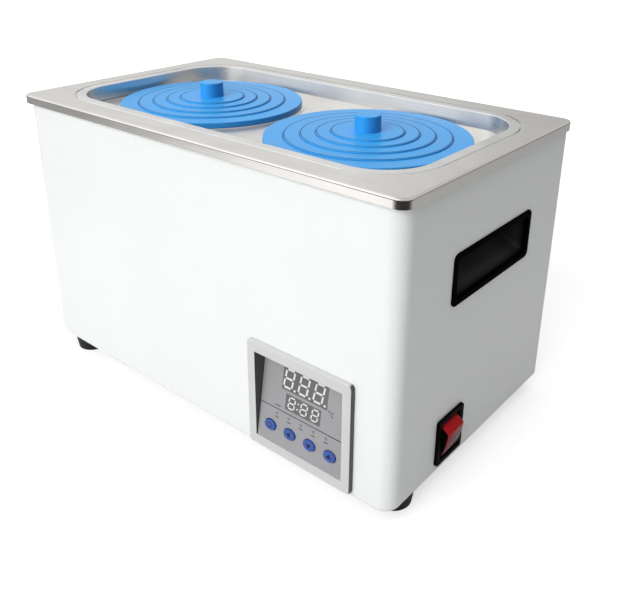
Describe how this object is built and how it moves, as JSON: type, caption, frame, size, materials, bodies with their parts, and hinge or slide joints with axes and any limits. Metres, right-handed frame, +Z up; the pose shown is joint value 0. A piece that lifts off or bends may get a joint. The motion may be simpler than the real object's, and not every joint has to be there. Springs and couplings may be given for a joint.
{
  "type": "thermostatic water bath",
  "caption": "Benchtop digital water bath: white steel case, stainless frame and tank, nested blue ring lids on a cover plate, tilted control panel, rocker switch and recessed grips.",
  "frame": {"origin": "on the bench under the middle of the case, at the lowest points of the feet", "axes": "+X to the right seen from the front, the long way; -Y is the front with the control panel; +Z up"},
  "size_m": [0.3332, 0.1973, 0.2095],
  "materials": {
    "white_case": "white powder coat, fine orange peel",
    "stainless": "satin stainless sheet with polished drawn walls",
    "blue_plastic": "glossy sky-blue moulded plastic",
    "black_plastic": "glossy black moulded plastic",
    "bezel_grey": "light grey fine-textured plastic",
    "panel_grey": "mid grey satin overlay",
    "display_dark": "dark grey display face with pale segments",
    "button_blue": "glossy blue button caps",
    "rocker_red": "translucent red rocker",
    "lamp": "frosted lamp ends",
    "rubber_black": "black rubber",
    "screw_steel": "bright zinc-plated steel",
    "contact_brass": "plated brass contacts",
    "board_green": "green circuit board",
    "board_part": "dark moulded electrical parts",
    "wool": "pale glass wool"
  },
  "bodies": {
    "chassis": {"outer_case": "white_case", "rear_panel": "white_case", "base_plate": "white_case", "top_frame": "stainless", "tank": "stainless", "heater_element": "stainless", "temperature_probe": "stainless", "tank_nuts": "stainless", "left_handle": "black_plastic", "right_handle": "black_plastic", "switch_housing": "black_plastic", "inlet_socket": "black_plastic", "panel_bezel": "bezel_grey", "panel_plate": "panel_grey", "big_display": "display_dark", "small_display": "display_dark", "panel_lamps": "lamp", "foot_front_left": "rubber_black", "foot_front_right": "rubber_black", "foot_rear_left": "rubber_black", "foot_rear_right": "rubber_black", "tank_seals": "rubber_black", "base_screws": "screw_steel", "foot_screws": "screw_steel", "foot_nuts": "screw_steel", "rear_screws": "screw_steel", "inlet_screws": "screw_steel", "board_spacers": "screw_steel", "thermal_cutout": "screw_steel", "inlet_pins": "contact_brass", "switch_blades": "contact_brass", "control_board": "board_green", "power_board": "board_green", "board_parts": "board_part", "transformer": "board_part", "side_insulation": "wool", "floor_insulation": "wool"},
    "cover": {"cover_plate": "stainless"},
    "left_ring_1": {"left_ring_1": "blue_plastic"},
    "left_ring_2": {"left_ring_2": "blue_plastic"},
    "left_ring_3": {"left_ring_3": "blue_plastic"},
    "left_ring_4": {"left_ring_4": "blue_plastic"},
    "left_lid": {"left_disc": "blue_plastic", "left_knob": "blue_plastic", "left_knob_screw": "screw_steel"},
    "right_ring_1": {"right_ring_1": "blue_plastic"},
    "right_ring_2": {"right_ring_2": "blue_plastic"},
    "right_ring_3": {"right_ring_3": "blue_plastic"},
    "right_ring_4": {"right_ring_4": "blue_plastic"},
    "right_lid": {"right_disc": "blue_plastic", "right_knob": "blue_plastic", "right_knob_screw": "screw_steel"},
    "rocker": {"switch_rocker": "rocker_red"},
    "button_set": {"button_set": "button_blue"},
    "button_left": {"button_left": "button_blue"},
    "button_down": {"button_down": "button_blue"},
    "button_up": {"button_up": "button_blue"},
    "shelf": {"tank_shelf": "stainless"},
    "fuse_drawer": {"fuse_drawer": "black_plastic"}
  },
  "joints": [
    {"name": "cover_lift", "type": "slide", "parent": "chassis", "child": "cover", "axis": [0, 0, 1], "range_m": [0, 0.12]},
    {"name": "left_ring_1_lift", "type": "slide", "parent": "cover", "child": "left_ring_1", "axis": [0, 0, 1], "range_m": [0, 0.06]},
    {"name": "left_ring_2_lift", "type": "slide", "parent": "left_ring_1", "child": "left_ring_2", "axis": [0, 0, 1], "range_m": [0, 0.06]},
    {"name": "left_ring_3_lift", "type": "slide", "parent": "left_ring_2", "child": "left_ring_3", "axis": [0, 0, 1], "range_m": [0, 0.06]},
    {"name": "left_ring_4_lift", "type": "slide", "parent": "left_ring_3", "child": "left_ring_4", "axis": [0, 0, 1], "range_m": [0, 0.06]},
    {"name": "left_lid_lift", "type": "slide", "parent": "left_ring_4", "child": "left_lid", "axis": [0, 0, 1], "range_m": [0, 0.06]},
    {"name": "right_ring_1_lift", "type": "slide", "parent": "cover", "child": "right_ring_1", "axis": [0, 0, 1], "range_m": [0, 0.06]},
    {"name": "right_ring_2_lift", "type": "slide", "parent": "right_ring_1", "child": "right_ring_2", "axis": [0, 0, 1], "range_m": [0, 0.06]},
    {"name": "right_ring_3_lift", "type": "slide", "parent": "right_ring_2", "child": "right_ring_3", "axis": [0, 0, 1], "range_m": [0, 0.06]},
    {"name": "right_ring_4_lift", "type": "slide", "parent": "right_ring_3", "child": "right_ring_4", "axis": [0, 0, 1], "range_m": [0, 0.06]},
    {"name": "right_lid_lift", "type": "slide", "parent": "right_ring_4", "child": "right_lid", "axis": [0, 0, 1], "range_m": [0, 0.06]},
    {"name": "rocker_tilt", "type": "hinge", "parent": "chassis", "child": "rocker", "pos_m": [0.1585, -0.0338, 0.0328], "axis": [0, 1, 0], "range_deg": [0, 24]},
    {"name": "button_set_press", "type": "slide", "parent": "chassis", "child": "button_set", "axis": [0, 0.9877, -0.1564], "range_m": [0, 0.0008], "stiffness_N_per_m": 600, "springref_m": -0.001},
    {"name": "button_left_press", "type": "slide", "parent": "chassis", "child": "button_left", "axis": [0, 0.9877, -0.1564], "range_m": [0, 0.0008], "stiffness_N_per_m": 600, "springref_m": -0.001},
    {"name": "button_down_press", "type": "slide", "parent": "chassis", "child": "button_down", "axis": [0, 0.9877, -0.1564], "range_m": [0, 0.0008], "stiffness_N_per_m": 600, "springref_m": -0.001},
    {"name": "button_up_press", "type": "slide", "parent": "chassis", "child": "button_up", "axis": [0, 0.9877, -0.1564], "range_m": [0, 0.0008], "stiffness_N_per_m": 600, "springref_m": -0.001},
    {"name": "shelf_lift", "type": "slide", "parent": "chassis", "child": "shelf", "axis": [0, 0, 1], "range_m": [0, 0.06]},
    {"name": "fuse_drawer_pull", "type": "slide", "parent": "chassis", "child": "fuse_drawer", "axis": [0, 1, 0], "range_m": [0, 0.02]}
  ]
}
